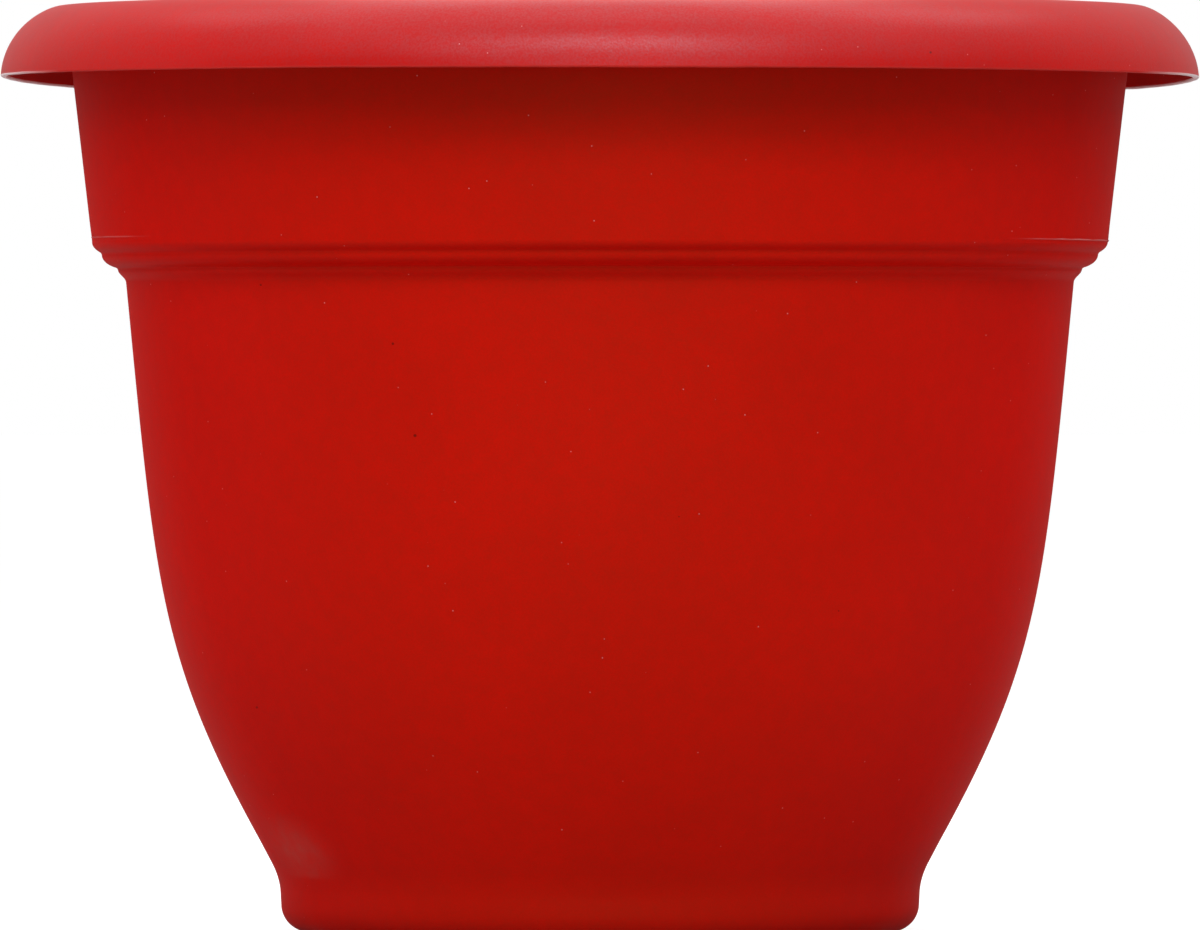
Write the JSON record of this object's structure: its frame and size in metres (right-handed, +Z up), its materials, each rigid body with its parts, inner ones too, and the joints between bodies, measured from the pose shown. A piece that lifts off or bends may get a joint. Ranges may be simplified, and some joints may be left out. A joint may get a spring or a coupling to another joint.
{
  "type": "flower planter",
  "caption": "Round bell-shaped plastic planter with a broad rolled rim, stepped beads and a short foot. A slotted soil grid lifts out, and soft plugs close the floor drains.",
  "frame": {"origin": "centre of the foot at ground level", "axes": "+Z up, along the axis the planter is turned about; +X through one foot of the soil grid"},
  "size_m": [0.406, 0.406, 0.3132],
  "materials": {
    "shell_red": "satin moulded",
    "grid_grey": "matt moulded",
    "plug_rubber": "matt"
  },
  "bodies": {
    "planter": {"planter_body": "shell_red"},
    "grid": {"soil_grid": "grid_grey"},
    "plug_1": {"drain_plug_1": "plug_rubber"},
    "plug_2": {"drain_plug_2": "plug_rubber"},
    "plug_3": {"drain_plug_3": "plug_rubber"},
    "plug_4": {"drain_plug_4": "plug_rubber"}
  },
  "joints": [
    {"name": "grid_lift", "type": "slide", "parent": "planter", "child": "grid", "axis": [0, 0, 1], "range_m": [0, 0.33]},
    {"name": "plug_1_pull", "type": "slide", "parent": "planter", "child": "plug_1", "axis": [0, 0, -1], "range_m": [0, 0.03]},
    {"name": "plug_2_pull", "type": "slide", "parent": "planter", "child": "plug_2", "axis": [0, 0, -1], "range_m": [0, 0.03]},
    {"name": "plug_3_pull", "type": "slide", "parent": "planter", "child": "plug_3", "axis": [0, 0, -1], "range_m": [0, 0.03]},
    {"name": "plug_4_pull", "type": "slide", "parent": "planter", "child": "plug_4", "axis": [0, 0, -1], "range_m": [0, 0.03]}
  ]
}
